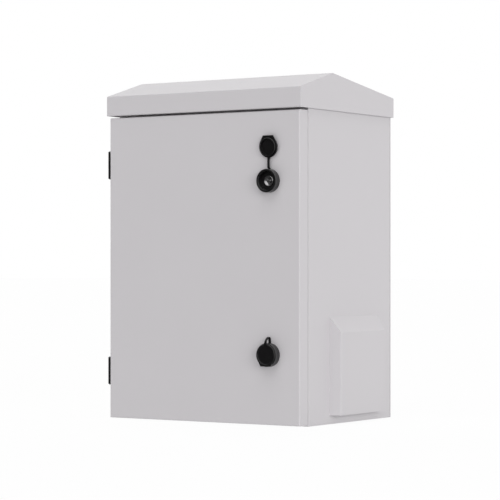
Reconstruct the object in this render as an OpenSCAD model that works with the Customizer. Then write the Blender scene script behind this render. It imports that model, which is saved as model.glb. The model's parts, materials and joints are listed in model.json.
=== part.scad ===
// Roadside utility cabinet: welded steel body with a gabled rain hood, one hinged door with two capped
// quarter-turn locks, rain-shielded side vents and a 19 inch rack. Millimetres, front towards -Y, Z up.

/* [Cabinet] */
// Outside width of the body and the door
cabinet_w = 600; // [570:5:800]
// Depth from the front of the door to the back of the body
cabinet_d = 460; // [450:5:800]
// Height of the body, from the base to the top sheet
body_h = 815; // [780:5:1200]
// Thickness of the steel sheet
sheet_t = 1.5; // [1.2:0.1:2]
// Outside radius of every fold in the sheet
bend_r = 3; // [2.5:0.5:4]
// Width of the frame round the door opening
frame_w = 35; // [32:1:42]
// Depth of the rain lip that stands forward from the frame
lip_d = 27; // [22:0.5:30]
// Width of the folds that carry the back sheet
rear_fold = 25; // [15:1:32]

/* [Door] */
// Depth of the door pan
door_d = 40; // [36:1:46]
// Gap between the door pan and the body
door_gap = 2; // [1:0.5:4]
// Height of the door's lower edge above the base
door_lift = 3; // [2:0.5:6]
// Gap between the door and the hood
door_top_gap = 5.5; // [4:0.5:10]
// Width of the hem round the back of the door pan
door_hem = 8; // [5:0.5:10]
// Width of the rubber seal
seal_w = 16; // [10:1:20]
// Running gap between the seal and the rain lip
seal_gap = 0.3; // [0.3:0.1:1]
// Outside width of a door stiffener's channel
stiffener_w = 40; // [25:1:60]
// Depth of a door stiffener
stiffener_d = 18; // [10:1:24]
// Distance between the two door stiffeners
stiffener_pitch = 260; // [150:5:270]
// Distance from a stiffener's end to the end of the door
stiffener_inset = 62; // [55:1:100]

/* [Hood] */
// Overhang of the hood on all four sides
hood_over = 6; // [4:0.5:20]
// Height by which the hood laps over the body
hood_lap = 6; // [4:0.5:10]
// Height of the upright fascia
fascia_h = 52; // [40:1:80]
// Height of the ridge above the top of the fascia
ridge_rise = 45; // [20:1:80]
// Distance of the ridge behind the front of the door
ridge_setback = 150; // [100:1:230]
// Depth of the hem under the front fascia
hood_hem = 12; // [8:0.5:20]
// Distance between the two bearers that carry the hood
bearer_pitch = 356; // [250:2:440]
// Width of a bearer's foot
bearer_foot = 34; // [30:1:45]
// Radius of the hood bolts
hood_bolt_r = 4; // [3:0.5:5]

/* [Hinges] */
// Height of a hinge
hinge_h = 71.5; // [60:0.5:100]
// Distance of a hinge's middle from the end of the door
hinge_inset = 125; // [80:1:170]
// Radius of the knuckles
knuckle_r = 6.5; // [6:0.1:7.5]
// Gap between the knuckles and the side of the cabinet
knuckle_gap = 0.5; // [0.4:0.1:2]
// Distance of the hinge axis behind the front of the door
axis_setback = 12; // [9:0.5:14]
// Radius of the hinge pin
pin_r = 3; // [2:0.1:4]
// Thickness of the hinge leaves
leaf_t = 4; // [3:0.5:6]
// Width of the leaf on the body
body_leaf_w = 34; // [24:1:50]
// Width of the leaf on the door
door_leaf_w = 24; // [18:1:26]
// Radius of the studs on the leaves
stud_r = 3; // [2:0.5:4]

/* [Locks] */
// Distance of the locks from the door's free edge
lock_inset_x = 89.5; // [80:0.5:120]
// Distance of each lock from the end of the door
lock_inset_z = 178.8; // [140:0.2:250]
// Radius of the lock housing
lock_r = 30; // [28:0.5:36]
// Height of the lock housing in front of the door
lock_h = 19; // [17:0.5:24]
// Radius of the recess in the housing
recess_r = 24; // [20:0.5:25]
// Height of the floor of the recess in front of the door
recess_floor = 6.5; // [6:0.5:8]
// Radius of the metal core
core_r = 14; // [12:0.5:16]
// Radius of the core's shaft
shaft_r = 8; // [7:0.5:9]
// Radius of the sleeve that passes through the door
sleeve_r = 12; // [11:0.5:14]
// Length of the sleeve behind the front of the door
sleeve_l = 26; // [16:1:32]
// Length of the cam from its axis
cam_l = 70; // [66:1:75]
// Width of the cam
cam_w = 18; // [14:1:22]
// Thickness of the cam
cam_t = 3; // [2:0.5:5]
// Gap between the cam and the frame it hooks behind
cam_gap = 2.5; // [1:0.5:5]
// Thickness of the cap
cap_t = 3.2; // [2.5:0.1:5]
// Half width of the pull tab at its free edge
tab_half = 15; // [10:0.5:18]
// Distance of the pull tab's free edge from the cap's middle
tab_reach = 29; // [28.5:0.5:36]
// Depth of the plug under the cap
plug_d = 4; // [3:0.5:6]
// Width of the strap
strap_w = 6.5; // [6:0.5:12]
// Thickness of the strap
strap_t = 2; // [1.5:0.1:3]
// Height of the cap's turning axis above the lock's middle
cap_axis_z = 43; // [42:0.5:48]
// Angle by which the cap turns from shut to open
cap_swing = 176; // [120:1:178]

/* [Vents] */
// Length of a vent cover along the side
vent_l = 247; // [240:1:280]
// Height of a vent cover
vent_h = 254; // [250:1:300]
// Distance of a vent cover behind the front of the door
vent_setback = 143; // [120:1:160]
// Height of a vent cover's lower edge above the base
vent_lift = 23; // [15:1:60]
// Depth of a vent cover
vent_out = 30; // [20:1:40]
// Slope of the vent cover's front and rear walls
vent_slope = 10; // [5:1:20]
// Slope of the vent cover's top wall
vent_top_slope = 40; // [20:1:45]
// Width of the vent cover's fixing fold
vent_fold = 10; // [6:1:12]
// Width of the window behind a vent cover
window_w = 150; // [100:2:160]
// Height of the window behind a vent cover
window_h = 150; // [100:2:160]
// Height of the window above the vent cover's lower edge
window_lift = 38; // [25:1:50]
// Height of each slot in the grille
slot_h = 5; // [3:0.5:6]
// Distance between slots in the grille
slot_pitch = 10; // [8:0.5:15]
// Thickness of the filter mat
mat_t = 12; // [8:1:18]
// Width by which the filter mat laps the window
mat_lap = 8; // [5:1:10]

/* [Rack] */
// Distance between the two rows of rail holes
rack_pitch = 465.1; // [464:0.1:466]
// Distance from a row of holes to the rail's inner edge
rail_lip = 7.55; // [6.5:0.05:8.5]
// Width of a square rail hole
rail_hole = 9.5; // [9:0.1:9.6]
// Width of a rail's face
rail_w = 25; // [22:0.5:28]
// Depth of a rail
rail_d = 35; // [28:1:45]
// Thickness of the rails
rail_t = 2; // [1.5:0.1:2.5]
// Distance of the front rails behind the body's frame
rail_setback = 60; // [30:1:100]
// Distance of the rear rails in front of the back of the body
rail_rear = 40; // [35:1:100]
// Least length of rail above and below the holes
rail_end = 24; // [15:1:40]
// Width of the slides that carry the rails
slide_w = 30; // [28:1:36]
// Height of the slides
slide_h = 12; // [11:0.5:20]
// Radius of the rail bolts
rail_bolt_r = 3; // [2.5:0.5:4]

/* [Base] */
// Length of the cable cut-out in the base
gland_w = 240; // [200:5:300]
// Depth of the cable cut-out in the base
gland_d = 72; // [70:1:100]
// Distance of the cut-out's middle from the back of the body
gland_rear = 110; // [80:1:150]
// Width of the rim on which the gland plate lies
gland_rim = 22; // [18:1:30]
// Thickness of the seal under the gland plate
gland_seal_t = 3; // [3:0.5:5]
// Distance between the two cable grommets
grommet_pitch = 130; // [80:1:130]
// Radius of the cable grommets' bore
grommet_bore = 20; // [12:0.5:22]
// Wall of the cable grommets
grommet_wall = 8; // [5:0.5:8]
// Radius of the plinth holes in the base
plinth_hole_r = 6; // [4:0.5:7]
// Distance between the plinth holes across the cabinet
plinth_pitch_x = 540; // [530:1:545]
// Distance between the plinth holes from front to back
plinth_pitch_y = 300; // [200:5:320]
// Radius of the wall holes in the back
wall_hole_r = 5.5; // [4:0.5:7]
// Distance between the wall holes across the cabinet
wall_pitch_x = 500; // [400:5:515]
// Distance between the wall holes in height
wall_pitch_z = 640; // [500:5:680]
// Radius of the earth stud
earth_r = 4; // [3:0.5:5]

/* [Fits] */
// Running clearance of a pin or shaft in its bore
run_fit = 0.05; // [0.03:0.01:0.1]
// Clearance of a fixed piece in its hole
hole_fit = 0.2; // [0.1:0.05:0.4]
// Gap between pieces that turn past each other
pass_gap = 0.4; // [0.3:0.1:1]

/* [Hidden] */
$fn = 48;
cut = 1;

x_side = cabinet_w / 2;
x_in = x_side - sheet_t;
y_front = -cabinet_d / 2;
y_back = cabinet_d / 2;
y_frame = y_front + door_d + door_gap;
y_lip = y_frame - lip_d;
open_x = x_side - frame_w;
open_z0 = frame_w;
open_z1 = body_h - frame_w;
z_fascia = body_h - hood_lap;
door_z0 = door_lift;
door_z1 = z_fascia - door_top_gap;
seal_room = y_lip - y_front - sheet_t;
stiffener_flange = 10;

x_hood = x_side + hood_over;
y_hood_front = y_front - hood_over;
y_hood_back = y_back + hood_over;
z_eave = z_fascia + fascia_h;
y_ridge = y_front + ridge_setback;
z_ridge = z_eave + ridge_rise;
front_pitch = atan2(ridge_rise, y_ridge - y_hood_front);
rear_pitch = atan2(ridge_rise, y_hood_back - y_ridge);
hood_seat = 0.2;
bearer_t = 2;
bearer_inset = 40;
bearer_peak = 6;
hood_bolt_inset = 88;
hood_bolt_x = bearer_pitch / 2 + bearer_foot - 2.5 * hood_bolt_r - bearer_t;

x_axis = -x_side - knuckle_gap - knuckle_r;
y_axis = y_front + axis_setback;
knuckle_h = hinge_h / 3;
pin_head = 2;
leaf_side_gap = 1;
body_leaf_y = y_frame + bend_r + leaf_side_gap;
stud_nut_h = 5;
stud_end = 2;
stud_l = sheet_t + stud_nut_h + stud_end;
body_stud_step = 24;
door_stud_step = 8;
hinge_zs = [door_z0 + hinge_inset, door_z1 - hinge_inset];

lock_x = x_side - lock_inset_x;
lock_zs = [door_z0 + lock_inset_z, door_z1 - lock_inset_z];
core_web = 1.2;
core_seat = strap_t + core_web;
core_rim = 3.5;
core_stand = 1.5;
core_floor = 2;
core_pin_r = 3;
bit_w = 2.4;
lock_nut_h = 7;
lock_nut_rim = 6.5;
line_z = 10;
line_w = 0.9;
line_deep = 0.7;
rim_cut = 1;
cam_back = door_d + door_gap + sheet_t + cam_gap;
cam_square = 9;
cam_stud_r = 4;
cam_hub = 2;
cam_nut_h = 6.5;
cam_nut_rim = 3.5;
stud_tip = 1.5;
cap_gap = 0.3;
cap_rim = 0.8;
cap_step = 2.2;
cap_r = lock_r - cap_step;
cap_base = lock_h + cap_gap;
plug_fit = 1;
plug_r = recess_r - plug_fit;
plug_wall = 3;
tab_t = 2.4;
lug_side = 0.5;
lug_half = strap_w / 2 + lug_side;
lug_out = 1.5;
lug_top = lock_r + lug_out;
cap_axis_back = 6.4;
cap_axis_y = lock_h - cap_axis_back;
strap_seat = 0.2;
strap_kick = 4.4;
strap_foot = 0.3;
strap_tip = lug_top + strap_seat;
strap_end = cap_base + (cap_t - strap_t) / 2;
loop_flat = 1;
loop_leg = 4;
loop_r = (strap_end - strap_t - loop_flat) / 2;
loop_top = strap_tip + loop_leg + loop_r;

vent_y0 = y_front + vent_setback;
vent_y1 = vent_y0 + vent_l;
vent_z0 = vent_lift;
vent_z1 = vent_lift + vent_h;
vent_yc = (vent_y0 + vent_y1) / 2;
window_zc = vent_z0 + window_lift + window_h / 2;
frame_t = 1.5;
mat_gap = 0.3;
screw_r = 2;
screw_head_r = 4;
screw_head_h = 2.6;
screw_tip = 2;
screw_edge = 10;
screw_drop = 20;
frame_half = window_w / 2 + mat_lap + mat_gap + frame_t;
frame_half_h = window_h / 2 + mat_lap + mat_gap + frame_t;
screw_y = (frame_half + screw_head_r + vent_l / 2 - vent_fold - screw_r) / 2;
screw_z = window_h / 2 - screw_drop;
grille_edge = 3;
grille_w = 2 * (screw_y + screw_edge);
grille_h = 2 * (frame_half_h + grille_edge);
slot_bar = 10;
slot_n = floor((window_h - slot_pitch) / slot_pitch);
slot_l = (window_w - 3 * slot_bar) / 2;
x_grille = x_in - sheet_t;
x_mat = x_grille - mat_t;

rack_unit = 44.45;
rail_in = rack_pitch / 2 - rail_lip;
rail_out = rail_in + rail_w;
rail_z0 = sheet_t + slide_h;
rail_z1 = body_h - rail_z0;
rack_units = floor((rail_z1 - rail_z0 - 2 * rail_end) / rack_unit);
rack_z0 = (body_h - rack_units * rack_unit) / 2;
rail_ys = [y_frame + rail_setback, y_back - rail_rear];
rail_bolt_x = rail_in + rail_w / 2;
rail_bolt_y = rail_d * 0.6;
slide_front = 40;
slide_rear = 20;
slide_y0 = y_frame + slide_front;
slide_y1 = y_back - slide_rear;
slide_end = 12;
rail_nut = 14;
rail_nut_h = 5;
rail_head_h = 4;
rail_tip = 1;

gland_y = y_back - gland_rear;
gland_z = sheet_t + gland_seal_t;
gland_stud_r = 2.5;
gland_stud_x = (gland_w + gland_rim) / 2;
gland_stud_y = (gland_d + gland_rim) / 2;
gland_nut_h = 4;
grommet_r = grommet_bore + grommet_wall;
grommet_flange = 5;
grommet_flange_t = 2.2;
grommet_collar = 8;
grommet_edge = 1;
plinth_y = (y_frame + y_back) / 2;
wall_z = body_h / 2;
earth_inset = 30;
earth_x = -rail_in + earth_inset;
earth_y = y_frame + earth_inset;
earth_h = 20;
earth_nut_h = 6.5;

paint = "gainsboro";
black = [0.12, 0.12, 0.13];
zinc = "silver";

function unit(v) = v / norm(v);
function left_of(v) = [-v[1], v[0]];
function dir_in(path, i) = unit(path[i] - path[i - 1]);
function dir_out(path, i) = unit(path[i + 1] - path[i]);
function turn_at(path, i) =
  atan2(cross(dir_in(path, i), dir_out(path, i)), dir_in(path, i) * dir_out(path, i));
function path_radius(path, i, t, r) = turn_at(path, i) > 0 ? r : r - t;
function setback(path, i, t, r) =
  i == 0 || i == len(path) - 1 ? 0 : path_radius(path, i, t, r) * tan(abs(turn_at(path, i)) / 2);
function meet(p, d, q, e) = p + d * cross(q - p, e) / cross(d, e);
function inset(points, t) = let (n = len(points)) [
  for (i = [0 : n - 1])
    let (a = points[(i + n - 1) % n], b = points[i], d = unit(b - a), e = unit(points[(i + 1) % n] - b))
      meet(a + left_of(d) * t, d, b + left_of(e) * t, e)
];
function hood_under(y) = y < y_ridge
  ? z_eave + (y - y_hood_front) * tan(front_pitch) - (sheet_t + hood_seat) / cos(front_pitch)
  : z_eave + (y_hood_back - y) * tan(rear_pitch) - (sheet_t + hood_seat) / cos(rear_pitch);

// Section of a folded sheet: the sheet lies to the left of the path, with a true arc at each fold
module folded(path, t, r) {
  last = len(path) - 1;
  for (i = [0 : last - 1]) {
    d = dir_out(path, i);
    a = path[i] + d * setback(path, i, t, r);
    b = path[i + 1] - d * setback(path, i + 1, t, r);
    polygon([a, b, b + left_of(d) * t, a + left_of(d) * t]);
  }
  for (i = [1 : last - 1]) {
    side = sign(turn_at(path, i));
    u = -left_of(dir_in(path, i)) * side;
    v = -left_of(dir_out(path, i)) * side;
    c = path[i] - dir_in(path, i) * setback(path, i, t, r) - u * path_radius(path, i, t, r);
    intersection() {
      difference() {
        translate(c) circle(r);
        translate(c) circle(r - t);
      }
      polygon([c, c + u * 2 * r, c + unit(u + v) * 3 * r, c + v * 2 * r]);
    }
  }
}

// Convex outline with every corner rounded
module rounded(points, r) {
  n = len(points);
  difference() {
    polygon(points);
    for (i = [0 : n - 1]) {
      p = points[i];
      d = unit(points[(i + n - 1) % n] - p);
      e = unit(points[(i + 1) % n] - p);
      half = acos(d * e) / 2;
      c = p + unit(d + e) * r / sin(half);
      difference() {
        polygon([p + d * r / tan(half), p, p + e * r / tan(half), c]);
        translate(c) circle(r);
      }
    }
  }
}

// Outlines drawn in the YZ or XZ plane, run along the third axis from a to b
module along_x(a, b) translate([a, 0, 0]) rotate([90, 0, 90]) linear_extrude(b - a) children();
module along_y(a, b) translate([0, b, 0]) rotate([90, 0, 0]) linear_extrude(b - a) children();

// Round bar along X or hexagon nut along Z, from the given end
module bar_x(r, l) rotate([0, 90, 0]) cylinder(r = r, h = l);
module hex_nut(r, h, hole) difference() {
  cylinder(r = r, h = h, $fn = 6);
  translate([0, 0, -cut]) cylinder(r = hole, h = h + 2 * cut);
}
module hex_nut_x(r, h, hole) rotate([0, 90, 0]) hex_nut(r, h, hole);
module at_sides() for (s = [0, 1]) mirror([s, 0, 0]) children();
module flip_top() translate([0, 0, body_h]) mirror([0, 0, 1]) children();

module side_sheet() difference() {
  translate([0, 0, sheet_t]) linear_extrude(body_h - 2 * sheet_t)
    folded([[open_x + sheet_t, y_lip], [open_x + sheet_t, y_frame], [x_side, y_frame],
      [x_side, y_back - sheet_t], [x_side - rear_fold, y_back - sheet_t]], sheet_t, bend_r);
  for (z = [0, open_z1 + sheet_t])
    translate([open_x - cut, y_lip - cut, z]) cube([frame_w, lip_d + cut, frame_w - sheet_t]);
  translate([x_in - cut, vent_yc - window_w / 2, window_zc - window_h / 2])
    cube([sheet_t + 2 * cut, window_w, window_h]);
  filter_holes();
}
module right_side() color(paint) side_sheet();
module left_side() color(paint) mirror([1, 0, 0]) difference() {
  side_sheet();
  for (z = hinge_zs, s = [-1, 1])
    translate([x_in - cut, body_leaf_y + body_leaf_w / 2, z + s * body_stud_step])
      bar_x(stud_r + hole_fit, sheet_t + 2 * cut);
}

module back_panel() color(paint) difference() {
  translate([-x_side, y_back - sheet_t, 0]) cube([cabinet_w, sheet_t, body_h]);
  for (sx = [-1, 1], sz = [-1, 1])
    translate([sx * wall_pitch_x / 2, y_back - sheet_t - cut, wall_z + sz * wall_pitch_z / 2])
      rotate([-90, 0, 0]) cylinder(r = wall_hole_r, h = sheet_t + 2 * cut);
}

// Base or top sheet with its frame, rain lip and rear fold, drawn as the base
module end_sheet() {
  along_x(-open_x, open_x)
    folded([[y_back - 2 * sheet_t, sheet_t + rear_fold], [y_back - 2 * sheet_t, sheet_t],
      [y_frame + sheet_t, sheet_t], [y_frame + sheet_t, open_z0], [y_lip, open_z0]], sheet_t, bend_r);
  at_sides() translate([open_x, y_frame, 0]) cube([frame_w, y_back - sheet_t - y_frame, sheet_t]);
}
module top_panel() color(paint) difference() {
  flip_top() end_sheet();
  hood_bolt_places() cylinder(r = hood_bolt_r + hole_fit, h = 4 * sheet_t, center = true);
}
module base_panel() color(paint) {
  difference() {
    end_sheet();
    translate([-gland_w / 2, gland_y - gland_d / 2, -cut]) cube([gland_w, gland_d, sheet_t + 2 * cut]);
    for (sx = [-1, 1], sy = [-1, 1])
      translate([sx * plinth_pitch_x / 2, plinth_y + sy * plinth_pitch_y / 2, -cut])
        cylinder(r = plinth_hole_r, h = sheet_t + 2 * cut);
  }
  gland_stud_places() cylinder(r = gland_stud_r, h = gland_seal_t + sheet_t + gland_nut_h + stud_end);
}

// Hood: gabled block hollowed by the sheet, open below, with a hem under its front fascia
module hood_block(t, r) along_x(-x_hood + t, x_hood - t)
  rounded(inset([[y_hood_front, z_fascia], [y_hood_back, z_fascia], [y_hood_back, z_eave], [y_ridge, z_ridge],
    [y_hood_front, z_eave]], t), r);
module hood() color(paint) difference() {
  union() {
    hood_block(0, bend_r);
    along_x(-x_hood, x_hood) translate([y_hood_back - 2 * bend_r, z_fascia]) square(2 * bend_r);
  }
  hood_block(sheet_t, bend_r - sheet_t);
  translate([-x_hood + sheet_t, y_hood_front + hood_hem, z_fascia - cut])
    cube([2 * (x_hood - sheet_t), y_hood_back - sheet_t - y_hood_front - hood_hem, cut + 2 * bend_r]);
}
module hood_bolt_places() for (s = [0, 1], y = [y_frame + hood_bolt_inset, y_back - hood_bolt_inset])
  mirror([s, 0, 0]) translate([hood_bolt_x, y, body_h]) children();
module hood_bearers() color(paint) difference() {
  at_sides() {
    along_x(bearer_pitch / 2, bearer_pitch / 2 + bearer_t)
      polygon([[y_frame + bearer_inset, body_h], [y_back - bearer_inset, body_h],
        [y_back - bearer_inset, hood_under(y_back - bearer_inset)],
        [y_ridge + bearer_peak, hood_under(y_ridge + bearer_peak)],
        [y_ridge - bearer_peak, hood_under(y_ridge - bearer_peak)],
        [y_frame + bearer_inset, hood_under(y_frame + bearer_inset)]]);
    translate([bearer_pitch / 2, y_frame + bearer_inset, body_h])
      cube([bearer_foot, y_back - y_frame - 2 * bearer_inset, bearer_t]);
  }
  hood_bolt_places() cylinder(r = hood_bolt_r + hole_fit, h = 4 * bearer_t, center = true);
}
module hood_bolts() color(zinc) hood_bolt_places() translate([0, 0, -sheet_t]) {
  mirror([0, 0, 1]) cylinder(r = 1.9 * hood_bolt_r, h = 1.3 * hood_bolt_r, $fn = 6);
  cylinder(r = hood_bolt_r, h = sheet_t + bearer_t + 2.2 * hood_bolt_r);
}
module hood_nuts() color(zinc) hood_bolt_places()
  translate([0, 0, bearer_t]) hex_nut(1.9 * hood_bolt_r, 1.6 * hood_bolt_r, hood_bolt_r + hole_fit / 2);

// Rounded box, smaller by t on every face: two rounded outlines crossed
module door_block(t, r) intersection() {
  translate([0, 0, door_z0 + t]) linear_extrude(door_z1 - door_z0 - 2 * t)
    rounded([[-x_side + t, y_front + t], [x_side - t, y_front + t], [x_side - t, y_front + door_d - t],
      [-x_side + t, y_front + door_d - t]], r);
  along_x(-x_side + t, x_side - t)
    rounded([[y_front + t, door_z0 + t], [y_front + door_d - t, door_z0 + t],
      [y_front + door_d - t, door_z1 - t], [y_front + t, door_z1 - t]], r);
}
module door_pan() color(paint) difference() {
  door_block(0, bend_r);
  door_block(sheet_t, bend_r - sheet_t);
  translate([-x_side + door_hem, y_front + door_d - 2 * sheet_t, door_z0 + door_hem])
    cube([cabinet_w - 2 * door_hem, 4 * sheet_t, door_z1 - door_z0 - 2 * door_hem]);
  for (z = lock_zs) at_lock(z) cylinder(r = sleeve_r + hole_fit, h = 4 * sheet_t, center = true);
  for (z = hinge_zs, s = [-1, 1])
    translate([-x_side - cut, y_axis + door_leaf_w * 0.6, z + s * door_stud_step])
      bar_x(stud_r + hole_fit, sheet_t + 2 * cut);
}
module seal_block(grow, h) translate([-open_x - grow, y_front + sheet_t, open_z0 - grow])
  cube([2 * (open_x + grow), h, open_z1 - open_z0 + 2 * grow]);
module door_seal() color(black) difference() {
  seal_block((seal_w + sheet_t) / 2, seal_room - seal_gap);
  translate([0, -cut, 0]) seal_block((sheet_t - seal_w) / 2, seal_room + 2 * cut);
}
module door_stiffeners() color(paint) at_sides()
  translate([0, 0, door_z0 + stiffener_inset]) linear_extrude(door_z1 - door_z0 - 2 * stiffener_inset)
    stiffener_section(stiffener_pitch / 2, stiffener_w / 2, y_front + sheet_t, stiffener_d - sheet_t);
module stiffener_section(x, half, y, d)
  folded([[x - half - stiffener_flange, y], [x - half + sheet_t, y], [x - half + sheet_t, y + d],
    [x + half - sheet_t, y + d], [x + half - sheet_t, y], [x + half + stiffener_flange, y]],
    sheet_t, bend_r);
module door_hinge_nuts() color(zinc) for (z = hinge_zs, s = [-1, 1])
  translate([-x_in, y_axis + door_leaf_w * 0.6, z + s * door_stud_step])
    hex_nut_x(1.9 * stud_r, stud_nut_h, stud_r + hole_fit / 2);

// Hinge: outer knuckles and leaf on the body, middle knuckle and leaf on the door, one loose pin
module knuckle_bore() translate([x_axis, y_axis, 0])
  cylinder(r = pin_r + run_fit, h = 2 * hinge_h, center = true);
module body_leaf(z) color(black) translate([0, 0, z]) difference() {
  union() {
    for (s = [-1, 1]) translate([0, 0, s * knuckle_h - knuckle_h / 2]) linear_extrude(knuckle_h) {
      translate([x_axis, y_axis]) circle(knuckle_r);
      polygon([[x_axis - knuckle_r * 0.96, y_axis + knuckle_r * 0.28], [x_axis, y_axis],
        [-x_side - leaf_side_gap, y_axis], [-x_side - leaf_side_gap, body_leaf_y + leaf_t],
        [-x_side - leaf_t, body_leaf_y + leaf_t]]);
    }
    translate([-x_side - leaf_t, body_leaf_y, -1.5 * knuckle_h]) cube([leaf_t, body_leaf_w, hinge_h]);
    for (s = [-1, 1]) translate([-x_side - leaf_t / 2, body_leaf_y + body_leaf_w / 2, s * body_stud_step])
      bar_x(stud_r, leaf_t / 2 + stud_l);
  }
  knuckle_bore();
}
module door_leaf(z) color(black) translate([0, 0, z]) difference() {
  union() {
    translate([0, 0, pass_gap - knuckle_h / 2]) linear_extrude(knuckle_h - 2 * pass_gap) {
      translate([x_axis, y_axis]) circle(knuckle_r);
      polygon([[x_axis - knuckle_r * 0.92, y_axis + knuckle_r * 0.38], [x_axis, y_axis], [-x_side, y_axis],
        [-x_side, y_axis + door_leaf_w], [-x_side - leaf_t / 2, y_axis + door_leaf_w],
        [-x_side - leaf_t, y_axis + door_leaf_w - leaf_t]]);
    }
    for (s = [-1, 1]) translate([-x_side - leaf_t / 2, y_axis + door_leaf_w * 0.6, s * door_stud_step])
      bar_x(stud_r, leaf_t / 2 + stud_l);
  }
  knuckle_bore();
}
module hinge_pin(z) color(zinc) translate([x_axis, y_axis, z]) {
  cylinder(r = pin_r, h = hinge_h, center = true);
  for (s = [0, 1]) mirror([0, 0, s]) translate([0, 0, hinge_h / 2])
    cylinder(r1 = pin_r + pin_head, r2 = pin_r + pin_head / 2, h = pin_head);
}
module upper_hinge_body_leaf() body_leaf(hinge_zs[1]);
module upper_hinge_door_leaf() door_leaf(hinge_zs[1]);
module upper_hinge_pin() hinge_pin(hinge_zs[1]);
module lower_hinge_body_leaf() body_leaf(hinge_zs[0]);
module lower_hinge_door_leaf() door_leaf(hinge_zs[0]);
module lower_hinge_pin() hinge_pin(hinge_zs[0]);
module body_hinge_nuts() color(zinc) for (z = hinge_zs, s = [-1, 1])
  translate([-x_in, body_leaf_y + body_leaf_w / 2, z + s * body_stud_step])
    hex_nut_x(1.9 * stud_r, stud_nut_h, stud_r + hole_fit / 2);

// Lock pieces are drawn with Z out of the door's front face and Y up
module at_lock(z) translate([lock_x, y_front, z]) rotate([90, 0, 0]) children();
module lock_housing(z) color(black) at_lock(z) rotate_extrude()
  polygon([[shaft_r + run_fit, -sleeve_l], [sleeve_r, -sleeve_l], [sleeve_r, strap_t],
    [lock_r - rim_cut, strap_t], [lock_r, strap_t + rim_cut], [lock_r, line_z], [lock_r - line_deep, line_z],
    [lock_r - line_deep, line_z + line_w], [lock_r, line_z + line_w], [lock_r, lock_h - rim_cut],
    [lock_r - rim_cut, lock_h], [recess_r + rim_cut, lock_h], [recess_r, lock_h - rim_cut],
    [recess_r, recess_floor], [core_r + hole_fit, recess_floor], [core_r + hole_fit, core_seat],
    [shaft_r + run_fit, core_seat]]);
module lock_nut(z) color(zinc) at_lock(z) translate([0, 0, -sheet_t - lock_nut_h])
  hex_nut(sleeve_r + lock_nut_rim, lock_nut_h, sleeve_r + hole_fit / 2);
module lock_core(z) color(zinc) at_lock(z) {
  core_top = recess_floor + core_stand;
  dish_r = core_r - core_rim;
  dish_floor = core_seat + core_floor;
  rotate_extrude()
    polygon([[0, -cam_back], [shaft_r, -cam_back], [shaft_r, core_seat + hole_fit],
      [core_r, core_seat + hole_fit], [core_r, core_top - rim_cut / 2], [core_r - rim_cut / 2, core_top],
      [dish_r, core_top], [dish_r, dish_floor], [core_pin_r, dish_floor],
      [core_pin_r, core_top - rim_cut / 2], [0, core_top - rim_cut / 2]]);
  translate([-dish_r * 0.6, -bit_w / 2, dish_floor - bit_w / 4])
    cube([dish_r * 1.2, bit_w, core_top - dish_floor - rim_cut]);
  translate([-cam_square / 2, -cam_square / 2, -cam_back - cam_t])
    cube([cam_square, cam_square, cam_t + bit_w]);
  translate([0, 0, -cam_back - cam_t - cam_nut_h - stud_tip])
    cylinder(r = cam_stud_r, h = cam_nut_h + stud_tip + bit_w);
}
module cam_outline() difference() {
  union() {
    circle(cam_square + cam_hub);
    translate([-cam_w / 2, -cam_l + cam_w / 2]) square([cam_w, cam_l - cam_w / 2]);
    translate([0, -cam_l + cam_w / 2]) circle(cam_w / 2);
  }
  square(cam_square + hole_fit, center = true);
}
module lock_cam(z) color(zinc) at_lock(z) translate([0, 0, -cam_back - cam_t])
  linear_extrude(cam_t) cam_outline();
module lock_cam_nut(z) color(zinc) at_lock(z) translate([0, 0, -cam_back - cam_t - cam_nut_h])
  hex_nut(cam_stud_r + cam_nut_rim, cam_nut_h, cam_stud_r + hole_fit / 2);

// Cap as it sits shut: rimmed disc, plug ring, pull tab below and strap lug above
module cap_shape() {
  rotate_extrude()
    polygon([[0, cap_base], [plug_r - plug_wall, cap_base], [plug_r - plug_wall, cap_base - plug_d],
      [plug_r - cap_rim, cap_base - plug_d], [plug_r, cap_base - plug_d + cap_rim], [plug_r, cap_base],
      [cap_r - cap_rim, cap_base], [cap_r, cap_base + cap_rim], [cap_r, cap_base + cap_t - cap_rim],
      [cap_r - cap_rim, cap_base + cap_t], [plug_r + cap_rim, cap_base + cap_t],
      [plug_r, cap_base + cap_t - cap_rim], [0, cap_base + cap_t - cap_rim]]);
  tab_turn = atan2(tab_half, tab_reach) + acos((cap_r - cap_rim) / norm([tab_half, tab_reach]));
  root = (cap_r - cap_rim) * [sin(tab_turn), -cos(tab_turn)];
  translate([0, 0, cap_base]) linear_extrude(tab_t)
    polygon([[-root[0], root[1]], [-tab_half, -tab_reach], [tab_half, -tab_reach], root]);
  translate([-lug_half, cap_r - 2 * cap_t, cap_base])
    cube([2 * lug_half, lug_top - cap_r + 2 * cap_t, cap_t]);
}
module cap_shut(z) at_lock(z) cap_shape();
module swing_open() translate([0, cap_axis_z, cap_axis_y]) rotate([-cap_swing, 0, 0])
  translate([0, -cap_axis_z, -cap_axis_y]) children();
module cap_open(z) at_lock(z) swing_open() cap_shape();

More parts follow.
